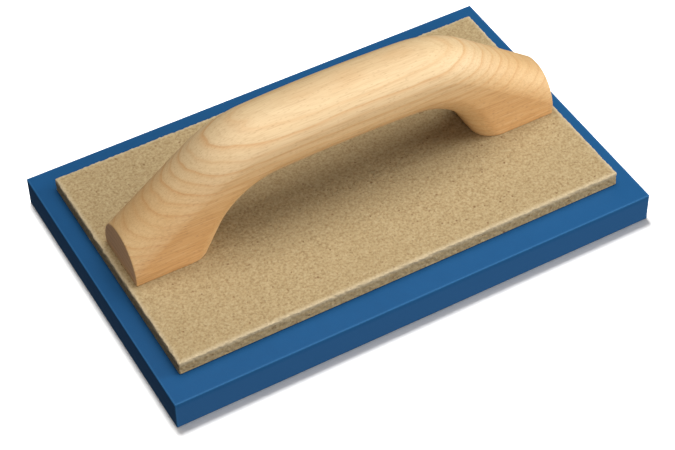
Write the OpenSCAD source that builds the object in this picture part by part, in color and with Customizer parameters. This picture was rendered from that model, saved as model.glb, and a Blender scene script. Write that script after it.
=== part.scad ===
// Hand float: a slab-shaped working face, a stiff backing board bonded on top of it,
// and an arched hardwood handle screwed on from under the board.
// Millimetres. Origin: centre of the working face. +X along the length, +Y across, +Z up.

/* [Working face] */
// Length of the working face
face_l = 280; // [240:1:320]
// Width of the working face
face_w = 179; // [130:1:200]
// Thickness of the working face
face_t = 17.5; // [10:0.5:25]
// Rounding of the face's edges
face_ease = 0.6; // [0.3:0.1:2]

/* [Backing board] */
// Length of the board
board_l = 259; // [234:1:270]
// Width of the board
board_w = 148; // [80:1:170]
// Thickness of the board
board_t = 8.6; // [7:0.1:12]
// Rounding of the board's top edges
board_ease = 1.4; // [0.4:0.1:2.5]
// Rounding of the board's upright corners
board_corner = 1.6; // [0.5:0.1:6]
// Thickness of the bond line between board and face
film_t = 0.2; // [0.2:0.1:0.6]
// How far the bond line stops short of the board's edge
film_inset = 2; // [0:0.5:5]

/* [Handle] */
// Length of the handle over both feet
handle_l = 250; // [230:1:256]
// Width of the handle
handle_w = 36.5; // [34:0.5:42]
// Height of the handle's crest above the board
crest_h = 69; // [66:0.5:74]
// Finger room: height of the arch's underside above the board
arch_h = 35; // [33:0.5:38]
// Length of each foot on the board, along the centre line
foot_l = 45; // [42:1:50]
// Rounding radius along the top of the handle
top_round = 17.4; // [15:0.1:17.4]
// Rounding radius along the underside of the arch
under_round = 12; // [8:0.5:12]
// Steepness of the handle's sloping ends, in degrees
slope_angle = 36.5; // [34:0.5:38]
// Run from the end of the handle to the start of its shoulder
slope_run = 79; // [76:1:84]
// Shoulder radius of the upper outline
shoulder_r = 68; // [55:1:72]
// Steepness of the foot's inner side, in degrees
throat_angle = 62; // [58:1:68]
// Radius of the arch's upper corners
throat_r = 40; // [34:1:42]

/* [Screws] */
// Thread diameter of the countersunk screws
screw_d = 4.5; // [4:0.5:5]
// Length of the screws
screw_l = 35; // [30:1:38]
// Distance of the outer screws from the handle's end
screw_outer = 13; // [12:1:16]
// Distance of the inner screws from the handle's end
screw_inner = 35; // [32:1:38]

/* [Hidden] */
$fn = 64;
crest_a = 3.1;     // half angle of the crest arc of the upper outline
arch_a = 2.55;     // half angle of the crest arc of the underside
top_crease = 0.975; // 1 runs the top rounding smoothly into the sides
levels = 20;       // slices across the handle's width
board_z = face_t + film_t;
top_z = board_z + board_t;
hx = handle_l / 2;
hb = handle_w / 2;
r_top = min(top_round, hb - 0.4);
r_und = min(under_round, hb - 2);
head_d = 2 * screw_d - 0.2;
head_h = 0.3 + (head_d - 0.7 * screw_d) / 2;
sink = 0.4;        // how far the heads lie below the board's underside
pitch = 0.49 * screw_d;
thread_l = 0.62 * screw_l;
tip_l = 0.9 * screw_d;

// ---- blocks with eased edges ----

// Rectangle centred on X standing on Y = 0, its two upper corners rounded by rt and its two lower by rb
module round_slab_2d(w, h, rt, rb) {
    union() {
        translate([-w / 2, rb]) square([w, h - rt - rb]);
        translate([-w / 2 + rt, h / 2]) square([w - 2 * rt, h / 2]);
        translate([-w / 2 + rb, 0]) square([w - 2 * rb, h / 2]);
        for (s = [-1, 1]) {
            translate([s * (w / 2 - rt), h - rt]) circle(r = rt);
            translate([s * (w / 2 - rb), rb]) circle(r = rb);
        }
    }
}

module eased_block(l, w, h, rt, rb, rc) {
    intersection() {
        translate([0, -w / 2, 0]) linear_extrude(h) round_slab_2d(l, w, rc, rc);
        rotate([90, 0, 90]) translate([0, 0, -l / 2]) linear_extrude(l) round_slab_2d(w, h, rt, rb);
        rotate([90, 0, 0]) translate([0, 0, -w / 2]) linear_extrude(w) round_slab_2d(l, h, rt, rb);
    }
}

// ---- handle outline ----

// Points of the right half of the upper outline, moved inwards by d: crest arc, shoulder arc, straight slope to the end
function upper_half(d) =
    let (x1 = hx - slope_run,
         r1 = x1 / sin(crest_a),
         zc = crest_h - r1,
         cx = (r1 - shoulder_r) * sin(crest_a),
         cz = zc + (r1 - shoulder_r) * cos(crest_a),
         sx = cx + (shoulder_r - d) * sin(slope_angle),
         sz = cz + (shoulder_r - d) * cos(slope_angle),
         run = hx - sx)
    concat(
        [for (i = [0:7]) let (t = crest_a * i / 8) [(r1 - d) * sin(t), zc + (r1 - d) * cos(t)]],
        [for (i = [0:12]) let (t = crest_a + (slope_angle - crest_a) * i / 12)
            [cx + (shoulder_r - d) * sin(t), cz + (shoulder_r - d) * cos(t)]],
        [for (i = [1:5]) [sx + run * i / 5, sz - run * tan(slope_angle) * i / 5]]);

// Points of the right half of the arch's underside, moved into the wood by d, down to the board
function under_half(d) =
    let (xi = hx - foot_l,
         x4 = (xi - throat_r * (sin(throat_angle) - sin(arch_a))
                  - (arch_h - throat_r * (cos(arch_a) - cos(throat_angle))) / tan(throat_angle))
              / (1 - tan(arch_a / 2) / tan(throat_angle)),
         r4 = x4 / sin(arch_a),
         zc = arch_h - r4,
         cx = (r4 - throat_r) * sin(arch_a),
         cz = zc + (r4 - throat_r) * cos(arch_a),
         sx = cx + (throat_r + d) * sin(throat_angle),
         sz = cz + (throat_r + d) * cos(throat_angle))
    concat(
        [for (i = [0:6]) let (t = arch_a * i / 7) [(r4 + d) * sin(t), zc + (r4 + d) * cos(t)]],
        [for (i = [0:13]) let (t = arch_a + (throat_angle - arch_a) * i / 13)
            [cx + (throat_r + d) * sin(t), cz + (throat_r + d) * cos(t)]],
        [for (i = [1:5]) [sx + sz / tan(throat_angle) * i / 5, sz * (1 - i / 5)]]);

// How far a rounding of radius r has moved in at the distance y from the middle; with k below 1 it stops short of
// upright and meets the flat side in a soft crease
function rounding(y, r, k = 1) = let (u = k * max(0, abs(y) - (hb - r))) r - sqrt(max(0, r * r - u * u));

function mirrored(p) = [for (i = [len(p) - 1:-1:1]) [-p[i][0], p[i][1]]];

// One slice: the whole upper outline from left to right, then the underside from right to left
function slice(y) =
    let (o = upper_half(rounding(y, r_top, top_crease)), u = under_half(rounding(y, r_und)),
         us = concat(mirrored(u), u))
    concat([for (p = concat(mirrored(o), o)) [p[0], y, p[1]]],
           [for (i = [len(us) - 1:-1:0]) [us[i][0], y, us[i][1]]]);

module handle_body() {
    ys = [for (j = [0:levels]) hb * sin(-90 + 180 * j / levels)];
    n = 2 * len(upper_half(0)) - 1;   // points along each outline; both outlines have as many
    k = 2 * n;
    c = k * (levels + 1);
    b = k * levels;
    polyhedron(
        points = concat([for (y = ys) each slice(y)],
                        [[-hx, -hb, 0], [-hx, hb, 0], [hx, -hb, 0], [hx, hb, 0]]),
        faces = concat(
            // the rounded skin
            [for (j = [0:levels - 1]) for (i = [0:k - 2]) if (i != n - 1)
                let (p = j * k + i) each [[p, p + k, p + 1], [p + 1, p + k, p + k + 1]]],
            // the flat ends and the feet
            [concat([c], [c + 1], [for (j = [levels:-1:0]) j * k])],
            [concat([c + 3], [c + 2], [for (j = [0:levels]) j * k + n - 1])],
            [concat([c], [for (j = [0:levels]) j * k + k - 1], [c + 1])],
            [concat([c + 3], [for (j = [levels:-1:0]) j * k + n], [c + 2])],
            // the flat sides
            [for (i = [0:n - 2]) each [[i, i + 1, k - 1 - i], [i + 1, k - 2 - i, k - 1 - i]]],
            [for (i = [0:n - 2]) each [[b + i + 1, b + i, b + k - 1 - i], [b + k - 2 - i, b + i + 1, b + k - 1 - i]]],
            [[c, 0, k - 1], [n - 1, c + 2, n], [b, c + 1, b + k - 1], [c + 3, b + n - 1, b + n]]),
        convexity = 6);
}

// ---- screws ----

// Outline of a countersunk wood screw, head down, its head's flat at Z = 0; grow widens it for the hole it cuts
function screw_outline(grow) =
    let (rc = 0.31 * screw_d, rs = 0.35 * screw_d, rt = screw_d / 2, z0 = screw_l - thread_l,
         n = floor((thread_l - tip_l) / pitch))
    concat(
        [[0, 0], [head_d / 2 + grow, 0], [head_d / 2 + grow, 0.3], [rs + grow, head_h], [rs + grow, z0]],
        [for (i = [0:n - 1]) each [[rc + grow, z0 + 0.3 + i * pitch], [rt + grow, z0 + 0.3 + (i + 0.5) * pitch]]],
        [[rc + grow, screw_l - tip_l], [0.25 + grow, screw_l + grow], [0, screw_l + grow]]);

module cross_recess() {
    translate([0, 0, -0.1]) for (a = [0, 90])
        rotate([0, 0, a]) translate([-0.45 * screw_d, -0.1 * screw_d, 0])
            cube([0.9 * screw_d, 0.2 * screw_d, 0.45 * screw_d]);
}

module screw_at(x) {
    color([0.86, 0.78, 0.52]) translate([x, 0, board_z + sink]) difference() {
        rotate_extrude($fn = 32) polygon(screw_outline(0));
        cross_recess();
    }
}

screw_xs = [-hx + screw_outer, -hx + screw_inner, hx - screw_inner, hx - screw_outer];

// ---- the pieces ----

module face_pad() {
    color([0.10, 0.33, 0.58]) eased_block(face_l, face_w, face_t, face_ease, face_ease, face_ease + 0.2);
}

module bond_film() {
    color([0.72, 0.62, 0.38]) translate([0, 0, face_t + film_t / 2])
        cube([board_l - 2 * film_inset, board_w - 2 * film_inset, film_t], center = true);
}

module backing_board() {
    color([0.76, 0.66, 0.47]) difference() {
        translate([0, 0, board_z]) eased_block(board_l, board_w, board_t, board_ease, 0.4, board_corner);
        for (x = screw_xs) translate([x, 0, board_z - 0.1]) {
            cylinder(d = screw_d + 0.3, h = board_t + 0.2);
            cylinder(d = head_d + 0.3, h = sink + 0.45);
            translate([0, 0, sink + 0.45]) cylinder(d1 = head_d + 0.3, d2 = 0.7 * screw_d, h = head_h - 0.2);
        }
    }
}

module handle() {
    color([0.87, 0.71, 0.50]) translate([0, 0, top_z]) difference() {
        handle_body();
        for (x = screw_xs) translate([x, 0, board_z + sink - top_z])
            rotate_extrude($fn = 32) polygon(screw_outline(0.05));
    }
}

face_pad();
bond_film();
backing_board();
handle();
screw_at(screw_xs[0]);  // screw_left_outer
screw_at(screw_xs[1]);  // screw_left_inner
screw_at(screw_xs[2]);  // screw_right_inner
screw_at(screw_xs[3]);  // screw_right_outer
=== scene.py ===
import bpy, bmesh, math
import numpy as np
from mathutils import Matrix, Vector


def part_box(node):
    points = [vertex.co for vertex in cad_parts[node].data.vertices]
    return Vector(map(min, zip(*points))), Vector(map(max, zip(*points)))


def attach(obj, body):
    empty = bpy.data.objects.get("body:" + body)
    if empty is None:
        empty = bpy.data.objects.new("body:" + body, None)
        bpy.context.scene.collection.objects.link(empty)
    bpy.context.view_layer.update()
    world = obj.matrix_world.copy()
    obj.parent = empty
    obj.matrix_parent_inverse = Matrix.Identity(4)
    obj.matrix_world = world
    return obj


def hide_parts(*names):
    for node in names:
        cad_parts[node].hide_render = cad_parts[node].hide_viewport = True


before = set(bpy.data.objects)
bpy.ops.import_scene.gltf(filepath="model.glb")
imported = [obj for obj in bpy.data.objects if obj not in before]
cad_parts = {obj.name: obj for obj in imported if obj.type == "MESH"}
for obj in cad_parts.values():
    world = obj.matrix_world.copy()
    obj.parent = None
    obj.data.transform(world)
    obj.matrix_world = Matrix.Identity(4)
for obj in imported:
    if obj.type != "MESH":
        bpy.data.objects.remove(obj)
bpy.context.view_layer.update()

MM = 0.001
sc = bpy.context.scene

# ---------------------------------------------------------------- sizes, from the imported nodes
pad_lo, pad_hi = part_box("face_pad")
brd_lo, brd_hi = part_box("backing_board")
han_lo, han_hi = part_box("handle")
TOP_Z = brd_hi.z
HX = (han_hi.x - han_lo.x) / 2
HB = (han_hi.y - han_lo.y) / 2
CREST = han_hi.z - TOP_Z


# ---------------------------------------------------------------- deterministic lattice noise
def hash3(i, j, k, seed):
    i = i.astype(np.uint32); j = j.astype(np.uint32); k = k.astype(np.uint32)
    h = (i * np.uint32(374761393) + j * np.uint32(668265263) + k * np.uint32(2147483647)
         + np.uint32((int(seed) * 1274126177) & 0xFFFFFFFF))
    h = (h ^ (h >> np.uint32(13))) * np.uint32(1274126177)
    h = h ^ (h >> np.uint32(16))
    return (h & np.uint32(0xFFFFFF)).astype(np.float64) / float(0xFFFFFF)


def value_noise(p, cell, seed):
    """smooth 3D value noise in -1..1, features about one cell across"""
    q = p / cell + 1000.0
    b = np.floor(q).astype(np.int64)
    f = q - b
    f = f * f * (3 - 2 * f)
    out = 0
    for dx in (0, 1):
        for dy in (0, 1):
            for dz in (0, 1):
                w = ((f[:, 0] if dx else 1 - f[:, 0]) * (f[:, 1] if dy else 1 - f[:, 1])
                     * (f[:, 2] if dz else 1 - f[:, 2]))
                out = out + w * hash3(b[:, 0] + dx, b[:, 1] + dy, b[:, 2] + dz, seed)
    return out * 2 - 1


def grains(p, cell, seed):
    """rounded grains: 1 at a grain's middle, falling to 0 between grains (nearest jittered point)"""
    q = p / cell + 1000.0
    b = np.floor(q).astype(np.int64)
    best = np.full(len(p), 9.0)
    for dx in (-1, 0, 1):
        for dy in (-1, 0, 1):
            for dz in (-1, 0, 1):
                c = b + [dx, dy, dz]
                o = np.stack([hash3(c[:, 0], c[:, 1], c[:, 2], seed + s) for s in (1, 2, 3)], 1)
                best = np.minimum(best, np.linalg.norm(c + o - q, axis=1))
    return np.clip(1 - best / 0.85, 0, 1)


# ---------------------------------------------------------------- mesh helpers
def new_object(name, verts, faces):
    me = bpy.data.meshes.new(name)
    me.from_pydata([tuple(v) for v in verts], [], faces)
    me.validate()
    bm = bmesh.new()
    bm.from_mesh(me)
    bmesh.ops.remove_doubles(bm, verts=bm.verts, dist=1e-7)
    bmesh.ops.recalc_face_normals(bm, faces=bm.faces)
    bm.to_mesh(me)
    bm.free()
    ob = bpy.data.objects.new(name, me)
    sc.collection.objects.link(ob)
    return ob


def box_grid(xs, ys, zs):
    """closed skin of a box, its faces cut along the given coordinates; returns verts, faces"""
    index, verts, faces = {}, [], []

    def vid(a, b, c):
        key = (a, b, c)
        if key not in index:
            index[key] = len(verts)
            verts.append((xs[a], ys[b], zs[c]))
        return index[key]

    nx, ny, nz = len(xs) - 1, len(ys) - 1, len(zs) - 1
    for k in (0, nz):
        for i in range(nx):
            for j in range(ny):
                f = [vid(i, j, k), vid(i + 1, j, k), vid(i + 1, j + 1, k), vid(i, j + 1, k)]
                faces.append(f if k else f[::-1])
    for j in (0, ny):
        for i in range(nx):
            for k in range(nz):
                f = [vid(i, j, k), vid(i, j, k + 1), vid(i + 1, j, k + 1), vid(i + 1, j, k)]
                faces.append(f if j else f[::-1])
    for i in (0, nx):
        for j in range(ny):
            for k in range(nz):
                f = [vid(i, j, k), vid(i, j + 1, k), vid(i, j + 1, k + 1), vid(i, j, k + 1)]
                faces.append(f if i else f[::-1])
    return np.array(verts, float), faces


def ease(v, lo, hi, r):
    """pulls the box's skin onto rounded edges of radius r; returns points and outward normals"""
    a, b = np.array(lo) + r, np.array(hi) - r
    q = np.clip(v, a, b)
    d = v - q
    n = np.linalg.norm(d, axis=1)
    m = np.divide(d, n[:, None], out=np.zeros_like(d), where=n[:, None] > 1e-12)
    return q + m * np.minimum(n, r)[:, None], m


def cuts(lo, hi, step, near):
    """coordinates from lo to hi: the listed distances from each end, and even steps between"""
    near = [t for t in near]
    a, b = lo + near[-1], hi - near[-1]
    n = max(1, round((b - a) / step))
    mid = list(np.linspace(a, b, n + 1))
    return [lo + t for t in near[:-1]] + mid + [hi - t for t in near[:-1]][::-1]


def smooth(ob, degrees=40):
    me = ob.data
    me.polygons.foreach_set("use_smooth", [True] * len(me.polygons))
    me.set_sharp_from_angle(angle=math.radians(degrees))


# ---------------------------------------------------------------- node helpers
class Mat:
    def __init__(self, name):
        self.m = bpy.data.materials.new(name)
        self.m.use_nodes = True
        self.t = self.m.node_tree
        self.t.nodes.clear()
        self.out = self.t.nodes.new("ShaderNodeOutputMaterial")
        self.b = self.t.nodes.new("ShaderNodeBsdfPrincipled")
        self.t.links.new(self.b.outputs[0], self.out.inputs[0])
        self.tc = self.t.nodes.new("ShaderNodeTexCoord")

    def node(self, kind, **kw):
        n = self.t.nodes.new(kind)
        for k, v in kw.items():
            setattr(n, k, v)
        return n

    def link(self, a, b):
        self.t.links.new(a, b)

    def put(self, sock, v):
        if hasattr(v, "links") or isinstance(v, bpy.types.NodeSocket):
            self.link(v, sock)
        else:
            sock.default_value = v

    def mapping(self, scale=(1, 1, 1), loc=(0, 0, 0), src=None):
        n = self.node("ShaderNodeMapping")
        n.inputs["Scale"].default_value = scale
        n.inputs["Location"].default_value = loc
        self.link(src or self.tc.outputs["Object"], n.inputs["Vector"])
        return n.outputs[0]

    def noise(self, vec, scale=1.0, detail=3.0, rough=0.5, dist=0.0):
        n = self.node("ShaderNodeTexNoise")
        self.link(vec, n.inputs["Vector"])
        n.inputs["Scale"].default_value = scale
        n.inputs["Detail"].default_value = detail
        n.inputs["Roughness"].default_value = rough
        n.inputs["Distortion"].default_value = dist
        return n.outputs["Fac"]

    def voronoi(self, vec, scale=1.0, feature="F1"):
        n = self.node("ShaderNodeTexVoronoi", feature=feature)
        self.link(vec, n.inputs["Vector"])
        n.inputs["Scale"].default_value = scale
        return n

    def math(self, op, a, b=0.0, c=0.0, clamp=False):
        n = self.node("ShaderNodeMath", operation=op, use_clamp=clamp)
        for s, v in zip(n.inputs, (a, b, c)):
            self.put(s, v)
        return n.outputs[0]

    def ramp(self, fac, stops, interp="LINEAR"):
        n = self.node("ShaderNodeValToRGB")
        r = n.color_ramp
        r.interpolation = interp
        while len(r.elements) < len(stops):
            r.elements.new(0.5)
        for e, (p, c) in zip(r.elements, stops):
            e.position = p
            e.color = c if len(c) == 4 else (*c, 1)
        self.link(fac, n.inputs[0])
        return n.outputs[0]

    def value_ramp(self, fac, stops, interp="LINEAR"):
        return self.ramp(fac, [(p, (v, v, v)) for p, v in stops], interp)

    def mix(self, fac, a, b, mode="MIX"):
        n = self.node("ShaderNodeMix", data_type="RGBA", blend_type=mode)
        self.put(n.inputs[0], fac)
        self.put(n.inputs[6], a if not isinstance(a, tuple) else (*a, 1))
        self.put(n.inputs[7], b if not isinstance(b, tuple) else (*b, 1))
        return n.outputs[2]

    def bump(self, height, dist, strength=1.0, normal=None):
        n = self.node("ShaderNodeBump")
        n.inputs["Strength"].default_value = strength
        n.inputs["Distance"].default_value = dist
        self.link(height, n.inputs["Height"])
        if normal is not None:
            self.link(normal, n.inputs["Normal"])
        return n.outputs[0]

    def xyz(self, vec=None):
        n = self.node("ShaderNodeSeparateXYZ")
        self.link(vec or self.tc.outputs["Object"], n.inputs[0])
        return n.outputs


def set_material(ob, mat):
    ob.data.materials.clear()
    ob.data.materials.append(mat)


# ---------------------------------------------------------------- blue rubber of the working face
def rubber():
    M = Mat("blue_cell_rubber")
    p = M.tc.outputs["Object"]
    cloud = M.noise(p, 14, 3, 0.55)
    mott = M.noise(p, 160, 3, 0.6)
    base = M.ramp(cloud, [(0.30, (0.0080, 0.081, 0.224)), (0.70, (0.0098, 0.090, 0.246))])
    base = M.mix(M.value_ramp(mott, [(0.35, 0.0), (0.75, 0.35)]), base, (0.0108, 0.097, 0.262))
    # closed cells show as fine darker pits
    cell = M.voronoi(p, 1500).outputs["Distance"]
    pit = M.value_ramp(cell, [(0.10, 1.0), (0.30, 0.0)])
    base = M.mix(M.math("MULTIPLY", pit, 0.22), base, (0.006, 0.055, 0.150))
    # painted highlight: a thin paler line along every edge of the slab, standing in for light caught on its eased edges
    x, y, z = M.xyz()
    a = M.math("SUBTRACT", M.math("ABSOLUTE", x), pad_hi.x)
    b = M.math("SUBTRACT", M.math("ABSOLUTE", y), pad_hi.y)
    c = M.math("SUBTRACT", z, pad_hi.z)
    second = M.math("MAXIMUM", M.math("MINIMUM", a, b), M.math("MINIMUM", M.math("MAXIMUM", a, b), c))
    painted_edge_highlight = M.value_ramp(M.math("MULTIPLY_ADD", second, 500.0, 1.0), [(0.30, 0.0), (0.72, 1.0)])
    # painted sheen: the sides are lightened toward a hazy blue, standing in for the soft reflection on them, not a
    # difference of the cut surface
    painted_side_sheen = M.value_ramp(M.math("SUBTRACT", pad_hi.z, z), [(0.0005, 0.0), (0.0015, 0.85)])
    base = M.mix(painted_side_sheen, base, (0.0250, 0.106, 0.266))
    base = M.mix(M.math("MULTIPLY", painted_edge_highlight, 0.38), base, (0.034, 0.155, 0.345))
    M.link(base, M.b.inputs["Base Color"])
    rough = M.value_ramp(mott, [(0.30, 0.50), (0.75, 0.62)])
    M.link(rough, M.b.inputs["Roughness"])
    M.b.inputs["Specular IOR Level"].default_value = 0.16
    h = M.math("ADD", M.math("MULTIPLY", cell, 0.5), M.math("MULTIPLY", mott, 0.6))
    M.link(M.bump(h, 0.00010, 0.30), M.b.inputs["Normal"])
    return M.m


# ---------------------------------------------------------------- granular tan board
def fibre_board():
    M = Mat("granular_fibre_board")
    p = M.tc.outputs["Object"]
    warp = M.node("ShaderNodeVectorMath", operation="ADD")
    wn = M.node("ShaderNodeTexNoise")
    M.link(p, wn.inputs["Vector"])
    wn.inputs["Scale"].default_value = 420
    wn.inputs["Detail"].default_value = 2
    sc_ = M.node("ShaderNodeVectorMath", operation="SCALE")
    M.link(wn.outputs["Color"], sc_.inputs[0])
    sc_.inputs["Scale"].default_value = 0.0011
    M.link(p, warp.inputs[0])
    M.link(sc_.outputs[0], warp.inputs[1])
    q = warp.outputs[0]
    gran = M.noise(q, 760, 2.0, 0.5)
    fine = M.noise(q, 1900, 3, 0.6)
    big = M.noise(p, 26, 3, 0.5)
    col = M.ramp(gran, [(0.30, (0.325, 0.228, 0.114)), (0.44, (0.410, 0.306, 0.162)),
                        (0.56, (0.458, 0.352, 0.194)), (0.72, (0.515, 0.412, 0.242))])
    col = M.mix(M.value_ramp(fine, [(0.32, 0.40), (0.50, 0.0)]), col, (0.300, 0.205, 0.096))
    col = M.mix(M.value_ramp(fine, [(0.56, 0.0), (0.74, 0.30)]), col, (0.530, 0.430, 0.262))
    v = M.voronoi(q, 520)
    pore = M.value_ramp(v.outputs["Distance"], [(0.12, 1.0), (0.34, 0.0)])
    cellv = M.node("ShaderNodeSeparateColor")
    M.link(v.outputs["Color"], cellv.inputs[0])
    some = M.value_ramp(cellv.outputs[0], [(0.45, 0.0), (0.60, 1.0)])
    dots = M.math("MULTIPLY", pore, some)
    col = M.mix(M.math("MULTIPLY", dots, 0.40), col, (0.215, 0.125, 0.055))
    rare = M.value_ramp(cellv.outputs[1], [(0.955, 0.0), (0.97, 1.0)])
    spot = M.math("MULTIPLY", M.value_ramp(v.outputs["Distance"], [(0.22, 1.0), (0.42, 0.0)]), rare)
    col = M.mix(M.math("MULTIPLY", spot, 0.60), col, (0.160, 0.075, 0.030))
    col = M.mix(M.value_ramp(big, [(0.35, 0.14), (0.65, 0.0)]), col, (0.370, 0.268, 0.135))
    # painted highlight: the rounded top edges and the upper part of the sides are mixed toward a pale tan, standing in
    # for the light caught along the edge
    x, y, z = M.xyz()
    ex = M.value_ramp(M.math("MULTIPLY", M.math("ABSOLUTE", x), 5.0), [(0.634, 0.0), (0.644, 1.0)])
    ey = M.value_ramp(M.math("MULTIPLY", M.math("ABSOLUTE", y), 5.0), [(0.356, 0.0), (0.368, 1.0)])
    ez = M.value_ramp(M.math("MULTIPLY", z, 10.0), [(0.228, 0.0), (0.252, 1.0)])
    rim = M.math("MULTIPLY", M.math("MAXIMUM", ex, ey), ez)
    col = M.mix(M.math("MULTIPLY", rim, 0.66), col, (0.640, 0.545, 0.375))
    M.link(col, M.b.inputs["Base Color"])
    M.b.inputs["Roughness"].default_value = 0.93
    M.b.inputs["Specular IOR Level"].default_value = 0.18
    h = M.math("ADD", M.math("MULTIPLY", gran, 0.7), M.math("MULTIPLY", fine, 0.45))
    h = M.math("SUBTRACT", h, M.math("MULTIPLY", dots, 0.5))
    M.link(M.bump(h, 0.0004, 0.5), M.b.inputs["Normal"])
    return M.m


# ---------------------------------------------------------------- beech
def beech():
    M = Mat("oiled_beech")
    p = M.tc.outputs["Object"]
    x, y, z = M.xyz()
    geo = M.node("ShaderNodeNewGeometry")
    tn = M.xyz(geo.outputs["True Normal"])
    side = M.value_ramp(M.math("ABSOLUTE", tn[1]), [(0.68, 0.0), (0.91, 0.40), (0.985, 1.0)])
    low = M.value_ramp(M.math("MULTIPLY", z, 10.0), [(0.50, 1.0), (0.74, 0.22)])
    side = M.math("MULTIPLY", side, low)
    # growth layers lie nearly flat, bowed a little across the width and wandering along the grain
    slow = M.noise(M.mapping((9, 26, 26)), 1.0, 2, 0.5)
    wave = M.noise(M.mapping((30, 90, 90), (3, 1, 7)), 1.0, 2, 0.5)
    bow = M.math("MULTIPLY", M.math("MULTIPLY", y, y), 3.2)
    w = M.math("ADD", z, bow)
    w = M.math("ADD", w, M.math("MULTIPLY", M.math("SUBTRACT", slow, 0.5), 0.0105))
    w = M.math("ADD", w, M.math("MULTIPLY", M.math("SUBTRACT", wave, 0.5), 0.0030))
    w = M.math("ADD", w, M.math("MULTIPLY", x, 0.012))
    # each layer gets its own strength, so some lines nearly vanish
    count = M.math("MULTIPLY", w, 1 / 0.0044)
    ring = M.math("FRACT", count)
    wn = M.node("ShaderNodeTexWhiteNoise", noise_dimensions="1D")
    M.link(M.math("FLOOR", count), wn.inputs["W"])
    own = M.math("MULTIPLY_ADD", wn.outputs["Value"], 0.65, 0.50)
    ring2 = M.math("FRACT", M.math("MULTIPLY", w, 1 / 0.0017))
    band = M.value_ramp(ring, [(0.0, 0.34), (0.09, 0.08), (0.30, 0.0), (0.66, 0.22), (0.84, 0.66), (0.93, 1.0), (0.98, 0.74), (1.0, 0.34)])
    band = M.math("MULTIPLY", band, own)
    band2 = M.value_ramp(ring2, [(0.0, 0.0), (0.60, 0.25), (0.90, 1.0), (1.0, 0.0)])
    tone = M.noise(M.mapping((10, 60, 60), (1, 5, 2)), 1.0, 3, 0.5)
    base = M.ramp(tone, [(0.30, (0.625, 0.392, 0.168)), (0.52, (0.665, 0.432, 0.192)), (0.72, (0.705, 0.478, 0.226))])
    # painted sheen: the upper part of the handle is mixed toward a pale cream, standing in for the broad soft
    # reflection on its top
    painted_top_sheen = M.value_ramp(M.math("MULTIPLY", z, 10.0), [(0.61, 0.0), (0.82, 1.0)])
    base = M.mix(M.math("MULTIPLY", painted_top_sheen, 0.66), base, (0.695, 0.548, 0.326))
    # the lower flat sides are pushed toward plain orange wood, and their contrast with the paler top is painted sheen,
    # not a difference in the wood
    base = M.mix(M.math("MULTIPLY", side, 0.78), base, (0.575, 0.300, 0.100))
    faded = M.math("SUBTRACT", 1.0, M.math("MULTIPLY", side, 0.45))
    base = M.mix(M.math("MULTIPLY", M.math("MULTIPLY", band, 0.68), faded), base, (0.565, 0.282, 0.088))
    base = M.mix(M.math("MULTIPLY", M.math("MULTIPLY", band2, 0.14), faded), base, (0.450, 0.240, 0.088))
    # fibre streaks along the grain
    fib = M.noise(M.mapping((70, 1500, 1500)), 1.0, 3, 0.6)
    streak = M.math("MULTIPLY_ADD", side, 0.32, 0.30)
    base = M.mix(M.math("MULTIPLY", M.value_ramp(fib, [(0.30, 1.0), (0.50, 0.0)]), streak), base, (0.420, 0.212, 0.070))
    base = M.mix(M.value_ramp(fib, [(0.52, 0.0), (0.75, 0.34)]), base, (0.770, 0.575, 0.345))
    # short dashes of the rays
    fv = M.voronoi(M.mapping((330, 1350, 1350), (0.3, 0.7, 0.1)))
    fc = M.node("ShaderNodeSeparateColor")
    M.link(fv.outputs["Color"], fc.inputs[0])
    dash = M.math("MULTIPLY", M.value_ramp(fv.outputs["Distance"], [(0.16, 1.0), (0.34, 0.0)]),
                  M.value_ramp(fc.outputs[0], [(0.50, 0.0), (0.62, 1.0)]))
    base = M.mix(M.math("MULTIPLY", dash, M.math("MULTIPLY_ADD", side, 0.22, 0.30)), base, (0.345, 0.160, 0.050))
    # end grain of the sawn ends drinks in more oil and is darker
    nx = M.math("ABSOLUTE", tn[0])
    endg = M.value_ramp(nx, [(0.93, 0.0), (0.985, 1.0)])
    pores = M.voronoi(M.mapping((200, 2600, 2600)))
    pd = M.value_ramp(pores.outputs["Distance"], [(0.15, 1.0), (0.35, 0.0)])
    endc = M.mix(M.math("MULTIPLY", pd, 0.5), (0.780, 0.470, 0.250), (0.470, 0.250, 0.120))
    endc = M.mix(M.math("MULTIPLY", band, 0.35), endc, (0.390, 0.220, 0.105))
    base = M.mix(endg, base, endc)
    M.link(base, M.b.inputs["Base Color"])
    r = M.value_ramp(fib, [(0.30, 0.58), (0.75, 0.70)])
    M.link(M.mix(endg, r, (0.8, 0.8, 0.8)), M.b.inputs["Roughness"])
    M.b.inputs["Specular IOR Level"].default_value = 0.90
    h = M.math("SUBTRACT", M.math("MULTIPLY", fib, 0.6), M.math("MULTIPLY", dash, 0.35))
    h = M.math("SUBTRACT", h, M.math("MULTIPLY", band, 0.20))
    M.link(M.bump(h, 0.00012, 0.45), M.b.inputs["Normal"])
    return M.m


def glue():
    M = Mat("cured_glue_line")
    p = M.tc.outputs["Object"]
    n = M.noise(p, 220, 4, 0.6)
    c = M.ramp(n, [(0.30, (0.40, 0.29, 0.12)), (0.70, (0.56, 0.44, 0.22))])
    M.link(c, M.b.inputs["Base Color"])
    M.link(M.value_ramp(n, [(0.3, 0.28), (0.7, 0.5)]), M.b.inputs["Roughness"])
    M.link(M.bump(n, 0.0001, 0.5), M.b.inputs["Normal"])
    return M.m


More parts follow.
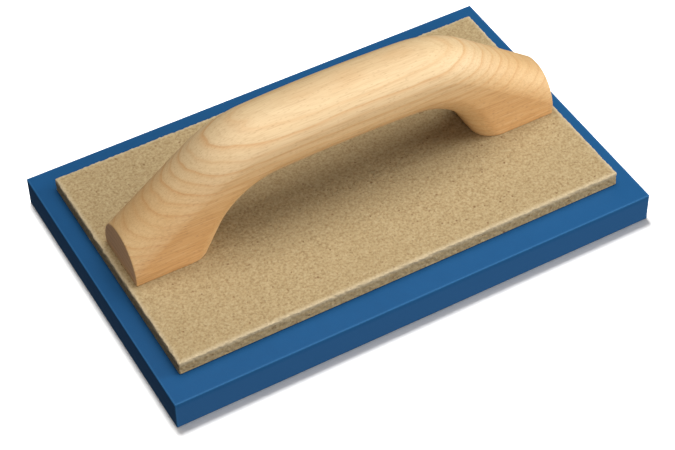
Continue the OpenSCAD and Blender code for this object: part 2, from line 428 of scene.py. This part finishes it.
def zinc_steel():
    M = Mat("yellow_zinc_steel")
    p = M.tc.outputs["Object"]
    n = M.noise(p, 900, 4, 0.6)
    s = M.noise(M.mapping((5000, 5000, 600)), 1.0, 2, 0.5)
    c = M.ramp(n, [(0.25, (0.62, 0.49, 0.24)), (0.55, (0.78, 0.66, 0.38)), (0.80, (0.70, 0.58, 0.42))])
    M.link(c, M.b.inputs["Base Color"])
    M.b.inputs["Metallic"].default_value = 1.0
    M.link(M.value_ramp(s, [(0.3, 0.22), (0.7, 0.40)]), M.b.inputs["Roughness"])
    M.link(M.bump(s, 0.00002, 0.5), M.b.inputs["Normal"])
    return M.m


RUBBER, BOARD, BEECH, GLUE, ZINC = rubber(), fibre_board(), beech(), glue(), zinc_steel()


# ---------------------------------------------------------------- the blue slab
def make_pad():
    near = [0, 0.1, 0.25, 0.42, 0.62, 0.9, 1.5, 3.0]
    near = [t * MM for t in near]
    xs = cuts(pad_lo.x, pad_hi.x, 4 * MM, near)
    ys = cuts(pad_lo.y, pad_hi.y, 4 * MM, near)
    zs = cuts(pad_lo.z, pad_hi.z, 1.6 * MM, near)
    v, f = box_grid(xs, ys, zs)
    v, n = ease(v, pad_lo, pad_hi, 0.62 * MM)
    # sides cut from sheet with a long blade: a hair of waviness, none on the working face or the bond
    side = np.clip(1 - np.abs(n[:, 2]) * 1.4, 0, 1)
    w = value_noise(v, 38 * MM, 3) * 0.10 + value_noise(v, 9 * MM, 5) * 0.035
    v = v + n * (side * (w - 0.12) * MM)[:, None]
    ob = new_object("face_pad_skin", v, f)
    smooth(ob, 50)
    set_material(ob, RUBBER)
    return ob


# ---------------------------------------------------------------- the granular board
def make_board():
    near = [t * MM for t in (0, 0.25, 0.55, 0.9, 1.3, 1.8)]
    xs = cuts(brd_lo.x, brd_hi.x, 0.72 * MM, near)
    ys = cuts(brd_lo.y, brd_hi.y, 0.72 * MM, near)
    zs = cuts(brd_lo.z, brd_hi.z, 0.72 * MM, near)
    v, f = box_grid(xs, ys, zs)
    v, n = ease(v, brd_lo, brd_hi, 1.25 * MM)
    up = n[:, 2] > -0.3
    flat_base = v[:, 2] < brd_lo.z + 0.4 * MM
    g = grains(v, 2.1 * MM, 11)
    h = (g ** 0.8) * 0.55 + value_noise(v, 0.9 * MM, 21) * 0.16 + value_noise(v, 6 * MM, 31) * 0.10 - 0.62
    rim = np.clip(np.maximum(np.abs(v[:, 0]) - (brd_hi.x - 2.2 * MM), np.abs(v[:, 1]) - (brd_hi.y - 2.2 * MM)) / (2.2 * MM), 0, 1)
    amp = 0.42 + 0.55 * rim
    # the handle's feet bed down on the board, so the grain under them is pressed flat
    foot = ((np.abs(v[:, 1]) < HB + 0.3 * MM) & (np.abs(v[:, 0]) > 78 * MM) & (np.abs(v[:, 0]) < HX + 0.3 * MM)
            & (v[:, 2] > TOP_Z - 0.2 * MM))
    d = np.where(up & ~flat_base, h * amp, 0.0)
    d = np.where(foot, -0.02, d)
    v = v + n * (d * MM)[:, None]
    ob = new_object("backing_board_skin", v, f)
    smooth(ob, 80)
    set_material(ob, BOARD)
    return ob


# ---------------------------------------------------------------- the handle
def make_handle():
    r_top, r_und = 17.4, 12.0
    hx, hb, crest_h = HX / MM, HB / MM, CREST / MM
    crest_a, slope_a, shoulder_r, slope_run = 3.1, 36.5, 68.0, 79.0
    arch_a, arch_h, throat_a, throat_r, foot_l = 2.55, 35.0, 62.0, 40.0, 45.0
    S = lambda a: math.sin(math.radians(a))
    C = lambda a: math.cos(math.radians(a))
    T = lambda a: math.tan(math.radians(a))

    def upper(d):
        x1 = hx - slope_run
        r1 = x1 / S(crest_a)
        zc = crest_h - r1
        cx, cz = (r1 - shoulder_r) * S(crest_a), zc + (r1 - shoulder_r) * C(crest_a)
        out = [((r1 - d) * S(t), zc + (r1 - d) * C(t)) for t in np.linspace(0, crest_a, 34, endpoint=False)]
        out += [(cx + (shoulder_r - d) * S(t), cz + (shoulder_r - d) * C(t)) for t in np.linspace(crest_a, slope_a, 44)]
        sx, sz = cx + (shoulder_r - d) * S(slope_a), cz + (shoulder_r - d) * C(slope_a)
        run = hx - sx
        out += [(sx + run * s, sz - run * T(slope_a) * s) for s in np.linspace(0, 1, 41)[1:]]
        return out

    def under(d):
        xi = hx - foot_l
        x4 = (xi - throat_r * (S(throat_a) - S(arch_a)) - (arch_h - throat_r * (C(arch_a) - C(throat_a))) / T(throat_a)) \
            / (1 - T(arch_a / 2) / T(throat_a))
        r4 = x4 / S(arch_a)
        zc = arch_h - r4
        cx, cz = (r4 - throat_r) * S(arch_a), zc + (r4 - throat_r) * C(arch_a)
        out = [((r4 + d) * S(t), zc + (r4 + d) * C(t)) for t in np.linspace(0, arch_a, 34, endpoint=False)]
        out += [(cx + (throat_r + d) * S(t), cz + (throat_r + d) * C(t)) for t in np.linspace(arch_a, throat_a, 54)]
        sx, sz = cx + (throat_r + d) * S(throat_a), cz + (throat_r + d) * C(throat_a)
        out += [(sx + sz / T(throat_a) * s, sz * (1 - s)) for s in np.linspace(0, 1, 31)[1:]]
        return out

    def rounding(y, r, k=1.0):
        u = k * max(0.0, abs(y) - (hb - r))
        return r - math.sqrt(max(0.0, r * r - u * u))

    ys = sorted(set([round(hb * S(a), 5) for a in np.linspace(-90, 90, 73)]))
    verts, n = [], None
    for y in ys:
        o, u = upper(rounding(y, r_top, 0.975)), under(rounding(y, r_und))
        o = [(-a, b) for a, b in o[:0:-1]] + o
        u = [(-a, b) for a, b in u[:0:-1]] + u
        assert len(o) == len(u)
        n = len(o)
        verts += [(a, y, b) for a, b in o] + [(a, y, b) for a, b in u[::-1]]
    k, L = 2 * n, len(ys) - 1
    c = len(verts)
    verts += [(-hx, -hb, 0), (-hx, hb, 0), (hx, -hb, 0), (hx, hb, 0)]
    faces = []
    for j in range(L):
        for i in range(k - 1):
            if i != n - 1:
                q = j * k + i
                faces.append([q, q + 1, q + k + 1, q + k])
    faces.append([c, c + 1] + [j * k for j in range(L, -1, -1)])
    faces.append([c + 3, c + 2] + [j * k + n - 1 for j in range(L + 1)])
    faces.append([c] + [j * k + k - 1 for j in range(L + 1)] + [c + 1])
    faces.append([c + 3] + [j * k + n for j in range(L, -1, -1)] + [c + 2])
    for b in (0, k * L):
        for i in range(n - 1):
            faces.append([b + i, b + i + 1, b + k - 2 - i, b + k - 1 - i])
    faces += [[c, 0, k - 1], [n - 1, c + 2, n], [k * L, c + 1, k * L + k - 1], [c + 3, k * L + n - 1, k * L + n]]
    v = np.array(verts, float)
    v[:, 2] += TOP_Z / MM
    ob = new_object("handle_wood", v * MM, faces)
    bev = ob.modifiers.new("eased_edges", "BEVEL")
    bev.width = 0.45 * MM
    bev.segments = 3
    bev.limit_method = "ANGLE"
    bev.angle_limit = math.radians(48)
    bev.use_clamp_overlap = True
    bpy.context.view_layer.objects.active = ob
    ob.select_set(True)
    bpy.ops.object.modifier_apply(modifier=bev.name)
    ob.select_set(False)
    smooth(ob, 42)
    set_material(ob, BEECH)
    return ob


pad, board, wood = make_pad(), make_board(), make_handle()
for piece, node, slot in ((pad, "face_pad", "face_rubber"), (board, "backing_board", "fibre_board"), (wood, "handle", "beech")):
    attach(piece, "root")
    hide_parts(node)

for name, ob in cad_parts.items():
    if name.startswith("screw_"):
        set_material(ob, ZINC)
    elif name == "bond_film":
        set_material(ob, GLUE)

# ---------------------------------------------------------------- floor, light, camera
me = bpy.data.meshes.new("floor")
me.from_pydata([(-6, -6, 0), (6, -6, 0), (6, 6, 0), (-6, 6, 0)], [], [(0, 1, 2, 3)])
floor = bpy.data.objects.new("floor", me)
floor.location.z = pad_lo.z - 0.00005
sc.collection.objects.link(floor)
F = Mat("pale_floor")
fn = F.noise(F.tc.outputs["Object"], 3, 2, 0.5)
F.link(F.ramp(fn, [(0.3, (0.955, 0.955, 0.955)), (0.7, (0.965, 0.965, 0.965))]), F.b.inputs["Base Color"])
F.b.inputs["Roughness"].default_value = 0.9
F.b.inputs["Specular IOR Level"].default_value = 0.1
F.b.inputs["Emission Color"].default_value = (1.0, 1.0, 1.0, 1)
F.b.inputs["Emission Strength"].default_value = 0.05
set_material(floor, F.m)
floor.visible_diffuse = False
floor.visible_glossy = False

world = bpy.data.worlds.new("studio")
world.use_nodes = True
world.node_tree.nodes["Background"].inputs[0].default_value = (1.0, 0.86, 0.74, 1)
world.node_tree.nodes["Background"].inputs[1].default_value = 0.070
sc.world = world


def area(name, at, to, size, power, color=(1, 1, 1)):
    li = bpy.data.lights.new(name, "AREA")
    li.shape = "RECTANGLE"
    li.size, li.size_y = size
    li.energy = power
    li.color = color
    ob = bpy.data.objects.new(name, li)
    ob.location = at
    d = Vector(to) - Vector(at)
    ob.rotation_euler = d.to_track_quat("-Z", "Y").to_euler()
    sc.collection.objects.link(ob)
    return ob


area("overhead_wide", (0.10, 0.05, 1.30), (0, 0, 0), (1.30, 1.15), 8.4, (1.0, 0.975, 0.94))
core = area("overhead_core", (0.0, 0.0, 1.30), (0, 0, 0), (0.8, 0.8), 6.6, (1.0, 0.975, 0.94))
right = area("right", (1.62, -0.62, 0.80), (0, 0, 0.03), (0.9, 0.9), 19.4, (0.98, 1.0, 1.0))
front = area("low_front", (0.0, -1.7, 0.35), (0, 0, 0.03), (1.4, 0.5), 13.0, (1.0, 0.95, 0.90))
left = area("left_fill", (-1.6, -0.3, 0.5), (0, 0, 0.03), (0.8, 0.6), 2.0, (0.92, 0.96, 1.0))
left.visible_glossy = False
sheen = area("front_sheen", (0.55, -1.25, 1.0), (0, 0, 0.03), (1.2, 0.9), 5.0)
wash = area("floor_wash", (0.06, 0.38, 1.25), (0.03, 0.05, 0), (0.42, 0.42), 30.0)
felt = area("board_top", (0.02, 0.13, 1.30), (0, 0, 0), (0.76, 0.76), 9.0, (1.0, 0.978, 0.945))

# the tool has its own lights, and the floor is washed from above and behind,
# so that only a thin dark contact line is left along the slab's front and left
tool = bpy.data.collections.new("lit_tool")
for ob in [pad, board, wood] + list(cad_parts.values()):
    tool.objects.link(ob)
for lamp in (right, front):
    lamp.light_linking.receiver_collection = tool
# the board has its own overhead, a little further back, and no front sheen or left fill,
# so its shade under the grip stays deep and falls forward
rest = bpy.data.collections.new("lit_without_board")
for ob in [pad, wood] + list(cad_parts.values()):
    rest.objects.link(ob)
for lamp in (core, sheen, left):
    lamp.light_linking.receiver_collection = rest
top = bpy.data.collections.new("lit_board")
top.objects.link(board)
felt.light_linking.receiver_collection = top
ground = bpy.data.collections.new("lit_floor")
ground.objects.link(floor)
wash.light_linking.receiver_collection = ground

cam_data = bpy.data.cameras.new("camera")
cam = bpy.data.objects.new("camera", cam_data)
sc.collection.objects.link(cam)
cam_data.sensor_width = 36.0
cam_data.lens = 2049.4964 * 36.0 / 675.0
cam_data.clip_start, cam_data.clip_end = 0.05, 50
right = Vector((0.870156246580721, -0.4924777576947481, -0.017139565703510745))
up = Vector((0.36780443616381975, 0.6259380574699737, 0.6876928420079208))
fwd = Vector((0.327945122352455, 0.6047042305017135, -0.7257994146722387))
cam.matrix_world = Matrix((
    (right.x, up.x, -fwd.x, -0.36387753),
    (right.y, up.y, -fwd.y, -0.67186710),
    (right.z, up.z, -fwd.z, 0.79435368),
    (0, 0, 0, 1)))
sc.camera = cam
sc.view_settings.view_transform = "Standard"
sc.view_settings.look = "None"
sc.view_settings.exposure = 0.0
sc.view_settings.gamma = 1.0
